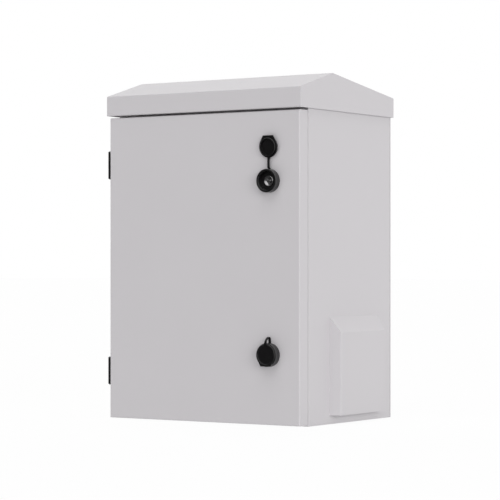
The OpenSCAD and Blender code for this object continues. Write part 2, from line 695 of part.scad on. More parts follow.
// Strap: a washer under the housing and a band up to the cap's lug, folded over or drawn straight
function opened(p) = let (q = p - [cap_axis_y, cap_axis_z], c = cos(cap_swing), s = sin(cap_swing))
  [cap_axis_y + q[0] * c - q[1] * s, cap_axis_z + q[0] * s + q[1] * c];
module strap_washer() difference() {
  cylinder(r = lock_r, h = strap_t);
  translate([0, 0, -cut]) cylinder(r = sleeve_r + hole_fit, h = strap_t + 2 * cut);
}
module strap_band() translate([strap_w / 2, 0, 0]) rotate([0, -90, 0]) linear_extrude(strap_w) children();
module strap_folded(z) at_lock(z) {
  strap_washer();
  strap_band() folded([[strap_t, lock_r - strap_t], [strap_t, loop_top], [strap_end, loop_top],
    [strap_end, strap_tip]], strap_t, loop_r + strap_t);
}
module strap_straight(z) at_lock(z) {
  strap_washer();
  kick_z = lock_r + strap_kick;
  strap_band() polygon([[0, lock_r - strap_t], [strap_t, lock_r - strap_t], [strap_t, lock_r - strap_foot],
    [strap_kick + strap_t, kick_z - strap_foot], opened([strap_end, strap_tip]),
    opened([strap_end + strap_t, strap_tip]), [strap_kick, kick_z + strap_foot], [0, lock_r + strap_foot]]);
}
module upper_lock_housing() lock_housing(lock_zs[1]);
module upper_lock_nut() lock_nut(lock_zs[1]);
module upper_lock_core() lock_core(lock_zs[1]);
module upper_lock_cam() lock_cam(lock_zs[1]);
module upper_lock_cam_nut() lock_cam_nut(lock_zs[1]);
module upper_lock_cap() color(black) cap_open(lock_zs[1]);
module upper_lock_strap() color(black) strap_straight(lock_zs[1]);
module lower_lock_housing() lock_housing(lock_zs[0]);
module lower_lock_nut() lock_nut(lock_zs[0]);
module lower_lock_core() lock_core(lock_zs[0]);
module lower_lock_cam() lock_cam(lock_zs[0]);
module lower_lock_cam_nut() lock_cam_nut(lock_zs[0]);
module lower_lock_cap() color(black) cap_shut(lock_zs[0]);
module lower_lock_strap() color(black) strap_folded(lock_zs[0]);

// Vent cover: plan and section outlines crossed, hollowed by the sheet, open below and at its foot
module vent_block(t, r) {
  x_root = x_side - vent_out;
  x_face = x_side + vent_out;
  plan = [[x_root, vent_y0 - vent_slope], [x_face, vent_y0 + vent_slope], [x_face, vent_y1 - vent_slope],
    [x_root, vent_y1 + vent_slope]];
  section = [[x_root, vent_z0 - vent_h], [x_face, vent_z0 - vent_h], [x_face, vent_z1 - vent_top_slope],
    [x_root, vent_z1 + vent_top_slope]];
  intersection() {
    translate([0, 0, vent_z0 - vent_h]) linear_extrude(3 * vent_h) rounded(inset(plan, t), r);
    along_y(vent_y0 - vent_l, vent_y1 + vent_l) rounded(inset(section, t), r);
    translate([x_side + t, vent_y0 - vent_l, vent_z0 - t]) cube([vent_out, 3 * vent_l, 3 * vent_h]);
  }
}
module vent_cover() difference() {
  vent_block(0, bend_r);
  vent_block(sheet_t, bend_r - sheet_t);
  translate([x_side - cut, vent_y0 + vent_fold, vent_z0 - cut])
    cube([cut + 2 * sheet_t, vent_l - 2 * vent_fold, vent_h - vent_fold + cut]);
}
module filter_places() for (sy = [-1, 1], sz = [-1, 1])
  translate([0, vent_yc + sy * screw_y, window_zc + sz * screw_z]) children();
module filter_holes() filter_places()
  translate([x_mat - cut, 0, 0]) bar_x(screw_r + hole_fit, mat_t + 3 * sheet_t + 2 * cut);
module plate(x, t, w, h) translate([x, vent_yc - w / 2, window_zc - h / 2]) cube([t, w, h]);
module vent_grille() difference() {
  plate(x_grille, sheet_t, grille_w, grille_h);
  for (i = [0 : slot_n - 1], s = [-1, 1])
    translate([x_grille - cut, vent_yc + s * (slot_l + slot_bar) / 2 - slot_l / 2,
      window_zc + (i - (slot_n - 1) / 2) * slot_pitch - slot_h / 2])
      cube([sheet_t + 2 * cut, slot_l, slot_h]);
  filter_holes();
}
module filter_mat() plate(x_mat, mat_t, window_w + 2 * mat_lap, window_h + 2 * mat_lap);
module filter_frame() difference() {
  union() {
    plate(x_grille - frame_t, frame_t, grille_w, grille_h);
    plate(x_mat - frame_t, mat_t + frame_t, 2 * frame_half, 2 * frame_half_h);
  }
  plate(x_mat, mat_t + cut, window_w + 2 * (mat_lap + mat_gap), window_h + 2 * (mat_lap + mat_gap));
  for (sy = [-1, 1], sz = [-1, 1])
    translate([0, sy * (window_w + slot_bar) / 4, sz * (window_h + slot_bar) / 4])
      plate(x_mat - frame_t - cut, frame_t + 2 * cut, (window_w - slot_bar) / 2, (window_h - slot_bar) / 2);
  filter_holes();
}
module right_vent_cover() color(paint) vent_cover();
module right_vent_grille() color(zinc) vent_grille();
module right_filter_mat() color("dimgray") filter_mat();
module right_filter_frame() color(zinc) filter_frame();
module left_vent_cover() color(paint) mirror([1, 0, 0]) vent_cover();
module left_vent_grille() color(zinc) mirror([1, 0, 0]) vent_grille();
module left_filter_mat() color("dimgray") mirror([1, 0, 0]) filter_mat();
module left_filter_frame() color(zinc) mirror([1, 0, 0]) filter_frame();
module filter_screws() color(zinc) at_sides() filter_places() translate([x_grille - frame_t, 0, 0]) {
  mirror([1, 0, 0]) bar_x(screw_head_r, screw_head_h);
  bar_x(screw_r, frame_t + 2 * sheet_t + screw_tip);
}

// Rack rail: angle section with three square holes to a unit and a foot at each end
module rail_places(sx, y, back) translate([0, y, 0]) mirror([0, back, 0]) mirror([sx, 0, 0]) children();
module rail() difference() {
  union() {
    translate([0, 0, rail_z0]) linear_extrude(rail_z1 - rail_z0)
      folded([[rail_in, 0], [rail_out, 0], [rail_out, rail_d]], rail_t, bend_r);
    for (z = [rail_z0, rail_z1 - rail_t])
      translate([rail_in, rail_t / 2, z]) cube([rail_w - rail_t / 2, rail_d - rail_t / 2, rail_t]);
  }
  for (u = [0 : rack_units - 1], k = [1, 3.5, 6])
    translate([(rack_pitch - rail_hole) / 2, -cut, rack_z0 + (u + k / 7) * rack_unit - rail_hole / 2])
      cube([rail_hole, rail_t + 2 * cut, rail_hole]);
  translate([rail_bolt_x, rail_bolt_y, 0]) cylinder(r = rail_bolt_r + hole_fit, h = body_h);
}
module front_right_rail() color(zinc) rail_places(0, rail_ys[0], 0) rail();
module front_left_rail() color(zinc) rail_places(1, rail_ys[0], 0) rail();
module rear_right_rail() color(zinc) rail_places(0, rail_ys[1], 1) rail();
module rear_left_rail() color(zinc) rail_places(1, rail_ys[1], 1) rail();
module slide() difference() {
  along_y(slide_y0, slide_y1)
    folded([[rail_bolt_x + slide_w / 2, sheet_t], [rail_bolt_x + slide_w / 2, rail_z0],
      [rail_bolt_x - slide_w / 2, rail_z0], [rail_bolt_x - slide_w / 2, sheet_t]], sheet_t, bend_r);
  translate([rail_bolt_x - rail_bolt_r - hole_fit, slide_y0 + slide_end, rail_z0 - 2 * sheet_t])
    cube([2 * (rail_bolt_r + hole_fit), slide_y1 - slide_y0 - 2 * slide_end, 3 * sheet_t]);
}
module base_slides() color(zinc) at_sides() slide();
module top_slides() color(zinc) flip_top() at_sides() slide();
module rail_feet() for (s = [0, 1], i = [0, 1]) rail_places(s, rail_ys[i], i)
  translate([rail_bolt_x, rail_bolt_y, rail_z0]) children();
module foot_bolt() translate([0, 0, rail_t]) {
  cylinder(r = 1.9 * rail_bolt_r, h = rail_head_h, $fn = 6);
  mirror([0, 0, 1]) cylinder(r = rail_bolt_r, h = rail_t + sheet_t + rail_nut_h + rail_tip);
}
module foot_nut() translate([0, 0, -sheet_t - rail_nut_h]) difference() {
  translate([-rail_nut / 2, -rail_nut / 2, 0]) cube([rail_nut, rail_nut, rail_nut_h]);
  translate([0, 0, -cut]) cylinder(r = rail_bolt_r + hole_fit / 2, h = rail_nut_h + 2 * cut);
}
module rail_bolts() color(zinc) {
  rail_feet() foot_bolt();
  flip_top() rail_feet() foot_bolt();
}
module rail_nuts() color(zinc) {
  rail_feet() foot_nut();
  flip_top() rail_feet() foot_nut();
}

// Cable entry: seal, gland plate and nuts on the base's studs, with two rubber grommets
module gland_stud_places() for (sx = [-1, 1], sy = [-1, 1])
  translate([sx * gland_stud_x, gland_y + sy * gland_stud_y, sheet_t]) children();
module grommet_places() for (s = [-1, 1]) translate([s * grommet_pitch / 2, gland_y, gland_z]) children();
module gland_sheet(z, t) difference() {
  translate([-gland_w / 2 - gland_rim, gland_y - gland_d / 2 - gland_rim, z])
    cube([gland_w + 2 * gland_rim, gland_d + 2 * gland_rim, t]);
  gland_stud_places() cylinder(r = gland_stud_r + hole_fit, h = 4 * gland_z, center = true);
}
module gland_plate() color(paint) difference() {
  gland_sheet(gland_z, sheet_t);
  grommet_places() cylinder(r = grommet_r + hole_fit / 2, h = 4 * sheet_t, center = true);
}
module gland_seal() color(black) difference() {
  gland_sheet(sheet_t, gland_seal_t);
  translate([-gland_w / 2, gland_y - gland_d / 2, 0]) cube([gland_w, gland_d, 2 * gland_z]);
}
module gland_nuts() color(zinc) gland_stud_places() translate([0, 0, gland_seal_t + sheet_t])
  hex_nut(1.9 * gland_stud_r, gland_nut_h, gland_stud_r + hole_fit / 2);
module cable_grommets() color(black) grommet_places() rotate_extrude()
  polygon([[grommet_bore, -grommet_flange_t], [grommet_r + grommet_flange, -grommet_flange_t],
    [grommet_r + grommet_flange, 0], [grommet_r, 0], [grommet_r, sheet_t],
    [grommet_r + grommet_flange, sheet_t],
    [grommet_r + grommet_flange - grommet_edge, sheet_t + grommet_flange_t],
    [grommet_r - grommet_edge, sheet_t + grommet_flange_t],
    [grommet_bore + 2 * grommet_edge, sheet_t + grommet_flange_t + grommet_collar],
    [grommet_bore, sheet_t + grommet_flange_t + grommet_collar]]);
module earth_stud() color("goldenrod") translate([earth_x, earth_y, sheet_t])
  cylinder(r = earth_r, h = earth_h);
module earth_nut() color("goldenrod") translate([earth_x, earth_y, sheet_t])
  hex_nut(1.9 * earth_r, earth_nut_h, earth_r + hole_fit / 2);

right_side();
left_side();
back_panel();
top_panel();
base_panel();
hood();
hood_bearers();
hood_bolts();
hood_nuts();
door_pan();
door_seal();
door_stiffeners();
door_hinge_nuts();
upper_hinge_body_leaf();
upper_hinge_door_leaf();
upper_hinge_pin();
lower_hinge_body_leaf();
lower_hinge_door_leaf();
lower_hinge_pin();
body_hinge_nuts();
upper_lock_housing();
upper_lock_nut();
upper_lock_core();
upper_lock_cam();
upper_lock_cam_nut();
upper_lock_cap();
upper_lock_strap();
lower_lock_housing();
lower_lock_nut();
lower_lock_core();
lower_lock_cam();
lower_lock_cam_nut();
lower_lock_cap();
lower_lock_strap();
right_vent_cover();
right_vent_grille();
right_filter_mat();
right_filter_frame();
left_vent_cover();
left_vent_grille();
left_filter_mat();
left_filter_frame();
filter_screws();
front_right_rail();
front_left_rail();
rear_right_rail();
rear_left_rail();
base_slides();
top_slides();
rail_bolts();
rail_nuts();
gland_plate();
gland_seal();
gland_nuts();
cable_grommets();
earth_stud();
earth_nut();
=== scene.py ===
import json
import math

import bpy
import numpy as np
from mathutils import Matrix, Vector


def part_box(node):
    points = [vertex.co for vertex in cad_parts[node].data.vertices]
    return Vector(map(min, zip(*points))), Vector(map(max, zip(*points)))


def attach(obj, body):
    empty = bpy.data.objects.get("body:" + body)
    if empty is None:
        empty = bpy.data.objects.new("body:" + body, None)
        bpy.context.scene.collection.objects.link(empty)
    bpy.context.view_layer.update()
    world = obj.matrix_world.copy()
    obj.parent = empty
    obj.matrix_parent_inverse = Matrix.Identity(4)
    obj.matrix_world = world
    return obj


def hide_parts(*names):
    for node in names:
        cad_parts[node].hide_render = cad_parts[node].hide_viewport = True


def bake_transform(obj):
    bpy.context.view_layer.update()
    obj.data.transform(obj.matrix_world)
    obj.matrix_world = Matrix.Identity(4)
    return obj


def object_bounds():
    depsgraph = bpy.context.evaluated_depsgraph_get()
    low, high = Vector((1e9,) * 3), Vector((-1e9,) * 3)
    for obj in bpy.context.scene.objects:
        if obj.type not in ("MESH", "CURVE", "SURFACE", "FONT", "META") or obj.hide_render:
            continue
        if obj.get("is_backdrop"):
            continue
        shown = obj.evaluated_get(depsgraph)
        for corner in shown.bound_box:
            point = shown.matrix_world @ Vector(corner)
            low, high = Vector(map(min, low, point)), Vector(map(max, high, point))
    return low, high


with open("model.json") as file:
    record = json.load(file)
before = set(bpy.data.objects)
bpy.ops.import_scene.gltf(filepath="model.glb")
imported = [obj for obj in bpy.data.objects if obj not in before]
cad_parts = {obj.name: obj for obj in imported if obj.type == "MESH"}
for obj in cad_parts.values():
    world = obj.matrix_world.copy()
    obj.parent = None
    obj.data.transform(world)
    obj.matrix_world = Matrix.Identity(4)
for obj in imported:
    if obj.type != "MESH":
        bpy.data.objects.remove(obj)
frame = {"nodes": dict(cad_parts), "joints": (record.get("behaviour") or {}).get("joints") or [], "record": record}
cadLow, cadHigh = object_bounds()
cadNodes = frame["nodes"]
jointByName = {joint["name"]: joint for joint in frame["joints"]}
print("frame loaded: %d nodes, %d joints" % (len(cadNodes), len(jointByName)))


# shader helpers
def addNode(tree, kind, inputs=None, **settings):
    made = tree.nodes.new(kind)
    for key, value in settings.items():
        setattr(made, key, value)
    for key, value in (inputs or {}).items():
        if isinstance(value, bpy.types.NodeSocket):
            tree.links.new(value, made.inputs[key])
        else:
            made.inputs[key].default_value = value
    return made


def newGroup(name, inputs, outputs):
    group = bpy.data.node_groups.new(name, "ShaderNodeTree")
    for label, kind, value in inputs:
        socket = group.interface.new_socket(label, in_out="INPUT", socket_type=kind)
        socket.default_value = value
    for label, kind in outputs:
        group.interface.new_socket(label, in_out="OUTPUT", socket_type=kind)
    return group, group.nodes.new("NodeGroupInput"), group.nodes.new("NodeGroupOutput")


def useGroup(tree, group, inputs):
    return addNode(tree, "ShaderNodeGroup", inputs, node_tree=group)


def newMaterial(name):
    material = bpy.data.materials.new(name)
    material.use_nodes = True
    tree = material.node_tree
    tree.nodes.clear()
    surface = tree.nodes.new("ShaderNodeBsdfPrincipled")
    output = tree.nodes.new("ShaderNodeOutputMaterial")
    tree.links.new(surface.outputs["BSDF"], output.inputs["Surface"])
    return material, tree, surface


def objectPoint(tree):
    return tree.nodes.new("ShaderNodeTexCoord").outputs["Object"]


# a Mix node's colour sockets are told apart by number: 6 and 7 go in, 2 comes out
def mixColours(tree, factor, first, second):
    mixed = addNode(tree, "ShaderNodeMix", {"Factor": factor, 6: first, 7: second}, data_type="RGBA")
    return mixed.outputs[2]


# skin of powder coat, castings, mouldings and rubber: two sizes of noise mixed together
skinNoise = {"detail": 2.0, "coarseRoughness": 0.45, "fineRoughness": 0.5, "fineTimes": 3.1}


def makeSkinGroup():
    group, given, out = newGroup(
        "skinGrain",
        [("Grain Per Metre", "NodeSocketFloat", 700.0), ("Fine Share", "NodeSocketFloat", 0.35)],
        [("Height", "NodeSocketFloat")],
    )
    point = objectPoint(group)
    coarse = addNode(group, "ShaderNodeTexNoise", {
        "Vector": point, "Scale": given.outputs["Grain Per Metre"],
        "Detail": skinNoise["detail"], "Roughness": skinNoise["coarseRoughness"]})
    fineScale = addNode(group, "ShaderNodeMath", {
        0: given.outputs["Grain Per Metre"], 1: skinNoise["fineTimes"]}, operation="MULTIPLY")
    fine = addNode(group, "ShaderNodeTexNoise", {
        "Vector": point, "Scale": fineScale.outputs[0],
        "Detail": skinNoise["detail"], "Roughness": skinNoise["fineRoughness"]})
    mixed = addNode(group, "ShaderNodeMix", {
        "Factor": given.outputs["Fine Share"], "A": coarse.outputs["Fac"], "B": fine.outputs["Fac"]})
    group.links.new(mixed.outputs["Result"], out.inputs["Height"])
    return group


# slow drift of tone and gloss over the piece: the given colour times 1 plus or minus the spread
driftNoise = {"detail": 4.0, "roughness": 0.55, "low": 0.3, "high": 0.7}


def makeDriftGroup():
    group, given, out = newGroup(
        "slowDrift",
        [("Color", "NodeSocketColor", (0.5, 0.5, 0.5, 1.0)),
         ("Patches Per Metre", "NodeSocketFloat", 6.0), ("Tone Spread", "NodeSocketFloat", 0.02),
         ("Roughness", "NodeSocketFloat", 0.5), ("Gloss Spread", "NodeSocketFloat", 0.04)],
        [("Color", "NodeSocketColor"), ("Roughness", "NodeSocketFloat")],
    )
    noise = addNode(group, "ShaderNodeTexNoise", {
        "Vector": objectPoint(group), "Scale": given.outputs["Patches Per Metre"],
        "Detail": driftNoise["detail"], "Roughness": driftNoise["roughness"]})
    swing = addNode(group, "ShaderNodeMapRange", {
        "Value": noise.outputs["Fac"], "From Min": driftNoise["low"], "From Max": driftNoise["high"],
        "To Min": -1.0, "To Max": 1.0})
    tone = addNode(group, "ShaderNodeMath", {
        0: swing.outputs["Result"], 1: given.outputs["Tone Spread"], 2: 1.0}, operation="MULTIPLY_ADD")
    tinted = addNode(group, "ShaderNodeHueSaturation", {
        "Color": given.outputs["Color"], "Value": tone.outputs[0]})
    gloss = addNode(group, "ShaderNodeMath", {
        0: swing.outputs["Result"], 1: given.outputs["Gloss Spread"], 2: given.outputs["Roughness"]},
        operation="MULTIPLY_ADD")
    group.links.new(tinted.outputs["Color"], out.inputs["Color"])
    group.links.new(gloss.outputs[0], out.inputs["Roughness"])
    return group


# rings round an axis along Y: the sine of the distance from the given middle
def makeRingGroup():
    group, given, out = newGroup(
        "turnedRings",
        [("Middle", "NodeSocketVector", (0.0, 0.0, 0.0)),
         ("Rings Per Metre", "NodeSocketFloat", 4000.0)],
        [("Height", "NodeSocketFloat")],
    )
    away = addNode(group, "ShaderNodeVectorMath", {
        0: objectPoint(group), 1: given.outputs["Middle"]}, operation="SUBTRACT")
    flat = addNode(group, "ShaderNodeVectorMath", {
        0: away.outputs[0], 1: (1.0, 0.0, 1.0)}, operation="MULTIPLY")
    reach = addNode(group, "ShaderNodeVectorMath", {0: flat.outputs[0]}, operation="LENGTH")
    turn = addNode(group, "ShaderNodeMath", {
        0: reach.outputs["Value"], 1: given.outputs["Rings Per Metre"]}, operation="MULTIPLY")
    wave = addNode(group, "ShaderNodeMath", {0: turn.outputs[0]}, operation="SINE")
    group.links.new(wave.outputs[0], out.inputs["Height"])
    return group


# rolling lines along Z: noise drawn out lengthwise
rolledNoise = {"detail": 3.0, "roughness": 0.6}


def makeRolledGroup():
    group, given, out = newGroup(
        "rolledLines",
        [("Lines Per Metre", "NodeSocketFloat", 900.0), ("Draw", "NodeSocketFloat", 0.03)],
        [("Height", "NodeSocketFloat")],
    )
    stretch = addNode(group, "ShaderNodeCombineXYZ", {"X": 1.0, "Y": 1.0, "Z": given.outputs["Draw"]})
    drawn = addNode(group, "ShaderNodeVectorMath", {
        0: objectPoint(group), 1: stretch.outputs["Vector"]}, operation="MULTIPLY")
    noise = addNode(group, "ShaderNodeTexNoise", {
        "Vector": drawn.outputs[0], "Scale": given.outputs["Lines Per Metre"],
        "Detail": rolledNoise["detail"], "Roughness": rolledNoise["roughness"]})
    group.links.new(noise.outputs["Fac"], out.inputs["Height"])
    return group


# fibres of a filter mat: threads along the edges of scattered cells, and painted shade that makes the gaps between
# them dark
fibreCells = {"scatter": 1.0, "nearEdge": 0.02, "farEdge": 0.22}


def makeFibreGroup():
    group, given, out = newGroup(
        "matFibres",
        [("Thread", "NodeSocketColor", (0.2, 0.2, 0.2, 1.0)),
         ("Gap", "NodeSocketColor", (0.05, 0.05, 0.05, 1.0)),
         ("Cells Per Metre", "NodeSocketFloat", 420.0)],
        [("Color", "NodeSocketColor"), ("Height", "NodeSocketFloat")],
    )
    cells = addNode(group, "ShaderNodeTexVoronoi", {
        "Vector": objectPoint(group), "Scale": given.outputs["Cells Per Metre"],
        "Randomness": fibreCells["scatter"]}, feature="DISTANCE_TO_EDGE")
    rise = addNode(group, "ShaderNodeMapRange", {
        "Value": cells.outputs["Distance"], "From Min": fibreCells["nearEdge"],
        "From Max": fibreCells["farEdge"], "To Min": 1.0, "To Max": 0.0})
    # painted shade: the middle of each cell, away from the threads, takes the dark gap colour
    tone = mixColours(group, rise.outputs["Result"], given.outputs["Gap"], given.outputs["Thread"])
    group.links.new(tone, out.inputs["Color"])
    group.links.new(rise.outputs["Result"], out.inputs["Height"])
    return group


skinGroup = makeSkinGroup()
driftGroup = makeDriftGroup()
ringGroup = makeRingGroup()
rolledGroup = makeRolledGroup()
fibreGroup = makeFibreGroup()


def addBump(tree, surface, height, depth, strength):
    bump = addNode(tree, "ShaderNodeBump", {"Height": height, "Distance": depth, "Strength": strength})
    tree.links.new(bump.outputs["Normal"], surface.inputs["Normal"])


def driftInto(tree, surface, finish):
    drift = useGroup(tree, driftGroup, {
        "Color": finish["colour"] + (1.0,), "Patches Per Metre": finish["patches"],
        "Tone Spread": finish["toneSpread"], "Roughness": finish["roughness"],
        "Gloss Spread": finish["glossSpread"]})
    tree.links.new(drift.outputs["Color"], surface.inputs["Base Color"])
    tree.links.new(drift.outputs["Roughness"], surface.inputs["Roughness"])


# one finish: drifting tone and gloss over a grained skin
def skinMaterial(name, finish):
    material, tree, surface = newMaterial(name)
    driftInto(tree, surface, finish)
    skin = useGroup(tree, skinGroup, {
        "Grain Per Metre": finish["grain"], "Fine Share": finish["fineShare"]})
    addBump(tree, surface, skin.outputs["Height"], finish["grainDepth"], finish["grainStrength"])
    surface.inputs["Metallic"].default_value = finish.get("metallic", 0.0)
    surface.inputs["Specular IOR Level"].default_value = finish.get("specular", 0.5)
    return material


powderCoat = {
    "colour": (0.610, 0.591, 0.610), "roughness": 0.38, "toneSpread": 0.006, "glossSpread": 0.03,
    "patches": 5.0, "grain": 620.0, "fineShare": 0.35, "grainDepth": 0.00035, "grainStrength": 0.10}
blackMoulding = {
    "colour": (0.0036, 0.0031, 0.0036), "roughness": 0.31, "toneSpread": 0.10, "glossSpread": 0.05,
    "patches": 60.0, "grain": 1500.0, "fineShare": 0.5, "grainDepth": 0.00015, "grainStrength": 0.12,
    "specular": 1.0}
blackCasting = {
    "colour": (0.0085, 0.0080, 0.0085), "roughness": 0.50, "toneSpread": 0.12, "glossSpread": 0.06,
    "patches": 40.0, "grain": 1100.0, "fineShare": 0.4, "grainDepth": 0.00025, "grainStrength": 0.25}
blackRubber = {
    "colour": (0.0070, 0.0066, 0.0070), "roughness": 0.62, "toneSpread": 0.12, "glossSpread": 0.05,
    "patches": 45.0, "grain": 1900.0, "fineShare": 0.5, "grainDepth": 0.00012, "grainStrength": 0.20}
bareBrass = {
    "colour": (0.70, 0.50, 0.20), "roughness": 0.30, "toneSpread": 0.06, "glossSpread": 0.08,
    "patches": 120.0, "grain": 2400.0, "fineShare": 0.6, "grainDepth": 0.00008, "grainStrength": 0.15,
    "metallic": 1.0}


# nickel-plated core, turned about its own lock's axis
nickelPlate = {
    "colour": (0.54, 0.53, 0.54), "roughness": 0.16, "toneSpread": 0.04, "glossSpread": 0.06,
    "patches": 160.0, "rings": 9000.0, "ringDepth": 0.00004, "ringStrength": 0.18}


def coreMaterial(name, middle):
    material, tree, surface = newMaterial(name)
    driftInto(tree, surface, nickelPlate)
    rings = useGroup(tree, ringGroup, {"Middle": middle, "Rings Per Metre": nickelPlate["rings"]})
    addBump(tree, surface, rings.outputs["Height"],
            nickelPlate["ringDepth"], nickelPlate["ringStrength"])
    surface.inputs["Metallic"].default_value = 1.0
    return material


# zinc-plated steel: rolling lines under a slow drift of the plating
zincPlate = {
    "colour": (0.60, 0.61, 0.63), "roughness": 0.42, "toneSpread": 0.08, "glossSpread": 0.10,
    "patches": 38.0, "lines": 900.0, "draw": 0.04, "lineDepth": 0.00010, "lineStrength": 0.20}


def zincMaterial(name):
    material, tree, surface = newMaterial(name)
    driftInto(tree, surface, zincPlate)
    rolled = useGroup(tree, rolledGroup, {
        "Lines Per Metre": zincPlate["lines"], "Draw": zincPlate["draw"]})
    addBump(tree, surface, rolled.outputs["Height"], zincPlate["lineDepth"], zincPlate["lineStrength"])
    surface.inputs["Metallic"].default_value = 1.0
    return material


# grey filter mat of bonded fibres: the thread colour is the mat's own, the gap colour is painted shade in the
# voids between the threads
filterFelt = {
    "thread": (0.21, 0.22, 0.22), "gap": (0.05, 0.052, 0.053), "cells": 420.0, "roughness": 0.95,
    "fibreDepth": 0.0010, "fibreStrength": 0.8}


def filterMaterial(name):
    material, tree, surface = newMaterial(name)
    fibres = useGroup(tree, fibreGroup, {
        "Thread": filterFelt["thread"] + (1.0,), "Gap": filterFelt["gap"] + (1.0,),
        "Cells Per Metre": filterFelt["cells"]})
    tree.links.new(fibres.outputs["Color"], surface.inputs["Base Color"])
    addBump(tree, surface, fibres.outputs["Height"],
            filterFelt["fibreDepth"], filterFelt["fibreStrength"])
    surface.inputs["Roughness"].default_value = filterFelt["roughness"]
    return material


lockPlace = {side: Vector(jointByName[side + "_lock_turn"]["pos_m"]) for side in ("upper", "lower")}
finishes = {
    "body_paint": skinMaterial("powderCoat", powderCoat),
    "black_plastic": skinMaterial("blackMoulding", blackMoulding),
    "black_metal": skinMaterial("blackCasting", blackCasting),
    "rubber": skinMaterial("blackRubber", blackRubber),
    "brass": skinMaterial("bareBrass", bareBrass),
    "zinc_steel": zincMaterial("zincPlate"),
    "filter_foam": filterMaterial("filterFelt"),
}
coreFinish = {side: coreMaterial(side + "CoreNickel", lockPlace[side]) for side in lockPlace}


def dress(piece, material):
    piece.data.materials.clear()
    piece.data.materials.append(material)


subparts = frame["record"]["subparts"]
for subpart in subparts:
    name, slotName = subpart["node"], subpart["material_slot"]
    side = name.split("_")[0]
    dress(cadNodes[name], coreFinish[side] if slotName == "lock_metal" else finishes[slotName])
print("materials: %d finishes on %d nodes" % (len(finishes) + len(coreFinish), len(subparts)))


# faces of a surface on a grid: each cell's four corners, wrapped round where a side is closed
def gridFaces(rows, columns, first, closeRows, closeColumns, flip=False):
    i, j = np.meshgrid(np.arange(rows if closeRows else rows - 1),
                       np.arange(columns if closeColumns else columns - 1), indexing="ij")
    ni, nj = (i + 1) % rows, (j + 1) % columns
    corners = np.stack(
        [i * columns + j, ni * columns + j, ni * columns + nj, i * columns + nj], axis=-1)
    return (first + corners.reshape(-1, 4)[:, ::-1 if flip else 1]).tolist()


# open tube on a grid, closed by a flat face at either end
def tubeFaces(rows, columns, first, flip=False):
    start = list(range(first, first + columns))
    end = list(range(first + (rows - 1) * columns, first + rows * columns))
    ends = [start[::-1], end] if flip else [start, end[::-1]]
    return gridFaces(rows, columns, first, False, True, flip) + ends


def newPiece(name, points, faces, material):
    mesh = bpy.data.meshes.new(name)
    mesh.from_pydata(points.tolist(), [], faces)
    mesh.polygons.foreach_set("use_smooth", [True] * len(mesh.polygons))
    mesh.update()
    piece = bpy.data.objects.new(name, mesh)
    bpy.context.scene.collection.objects.link(piece)
    dress(piece, material)
    return piece


# superellipse outline: half sizes a and b, each coordinate the signed power of the cosine or sine
def superellipse(a, b, power, count):
    t = np.linspace(0.0, 2.0 * np.pi, count, endpoint=False)
    c, s = np.cos(t), np.sin(t)
    return a * np.sign(c) * np.abs(c) ** (2.0 / power), b * np.sign(s) * np.abs(s) ** (2.0 / power)


# smooth curve through the given points: cubic pieces, each point's slope that of the line
# between its neighbours
def smoothCurve(points, perSpan):
    p = np.asarray(points, float)
    p = np.vstack([2 * p[0] - p[1], p, 2 * p[-1] - p[-2]])
    u = np.linspace(0.0, 1.0, perSpan, endpoint=False)[None, :, None]
    a, b, c, d = (p[k:len(p) - 3 + k][:, None, :] for k in range(4))
    curve = 0.5 * (2 * b + (c - a) * u + (2 * a - 5 * b + 4 * c - d) * u ** 2
                   + (3 * b - a - 3 * c + d) * u ** 3)
    return np.vstack([curve.reshape(-1, p.shape[1]), p[-2]])


# cap strap: a flat washer under the housing and a band that runs up to the cap's lug
capStrap = {
    "bandWidth": 0.0070, "thickness": 0.0020, "edgePower": 5.0, "aroundBand": 40, "perSpan": 14,
    "washerHole": 0.0122, "rimPower": 8.0, "aroundWasher": 128, "aroundRim": 28,
    # points of the band's middle line: distance in front of the door, height above the lock's middle
    "lowerLine": [(0.0010, 0.0240), (0.0010, 0.0340), (0.0020, 0.0410), (0.0055, 0.0448),
                  (0.0105, 0.0436), (0.0160, 0.0395), (0.0200, 0.0350), (0.0209, 0.0310)],
    "upperLine": [(0.0010, 0.0240), (0.0010, 0.0292), (0.0030, 0.0312), (0.0064, 0.0334),
                  (0.0073, 0.0400), (0.0072, 0.0470), (0.0066, 0.0542), (0.0062, 0.0558)],
    # where the band starts and ends its turn from the door to the cap
    "lowerTurn": [(0.0020, 0.0360), (0.0200, 0.0360)],
    "upperTurn": [(0.0030, 0.0330), (0.0055, 0.0540)]}


def placeAtLock(side, line):
    line = np.asarray(line, float)
    middle = lockPlace[side]
    x = np.full(len(line), middle.x)
    return np.stack([x, middle.y - line[:, 0], middle.z + line[:, 1]], axis=1)


# band: the rounded flat section carried along the middle line, its width along X
def bandSurface(side):
    path = placeAtLock(side, smoothCurve(capStrap[side + "Line"], capStrap["perSpan"]))
    along = np.gradient(path, axis=0)
    along /= np.linalg.norm(along, axis=1, keepdims=True)
    width = np.array([1.0, 0.0, 0.0])
    through = np.cross(along, width)
    w, t = superellipse(capStrap["bandWidth"] / 2, capStrap["thickness"] / 2,
                        capStrap["edgePower"], capStrap["aroundBand"])
    return path[:, None, :] + w[None, :, None] * width + t[None, :, None] * through[:, None, :]


# washer: a rounded flat section turned about the lock's axis
def washerSurface(side):
    low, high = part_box(side + "_lock_strap")
    outer = (high.x - low.x) / 2
    half = (outer - capStrap["washerHole"]) / 2
    r, h = superellipse(half, capStrap["thickness"] / 2, capStrap["rimPower"], capStrap["aroundRim"])
    r = r + outer - half
    h = h + capStrap["thickness"] / 2
    angle = np.linspace(0.0, 2.0 * np.pi, capStrap["aroundWasher"], endpoint=False)[:, None]
    middle = lockPlace[side]
    return np.stack([middle.x + r * np.cos(angle), np.broadcast_to(middle.y - h, (len(angle), len(h))),
                     middle.z + r * np.sin(angle)], axis=-1)


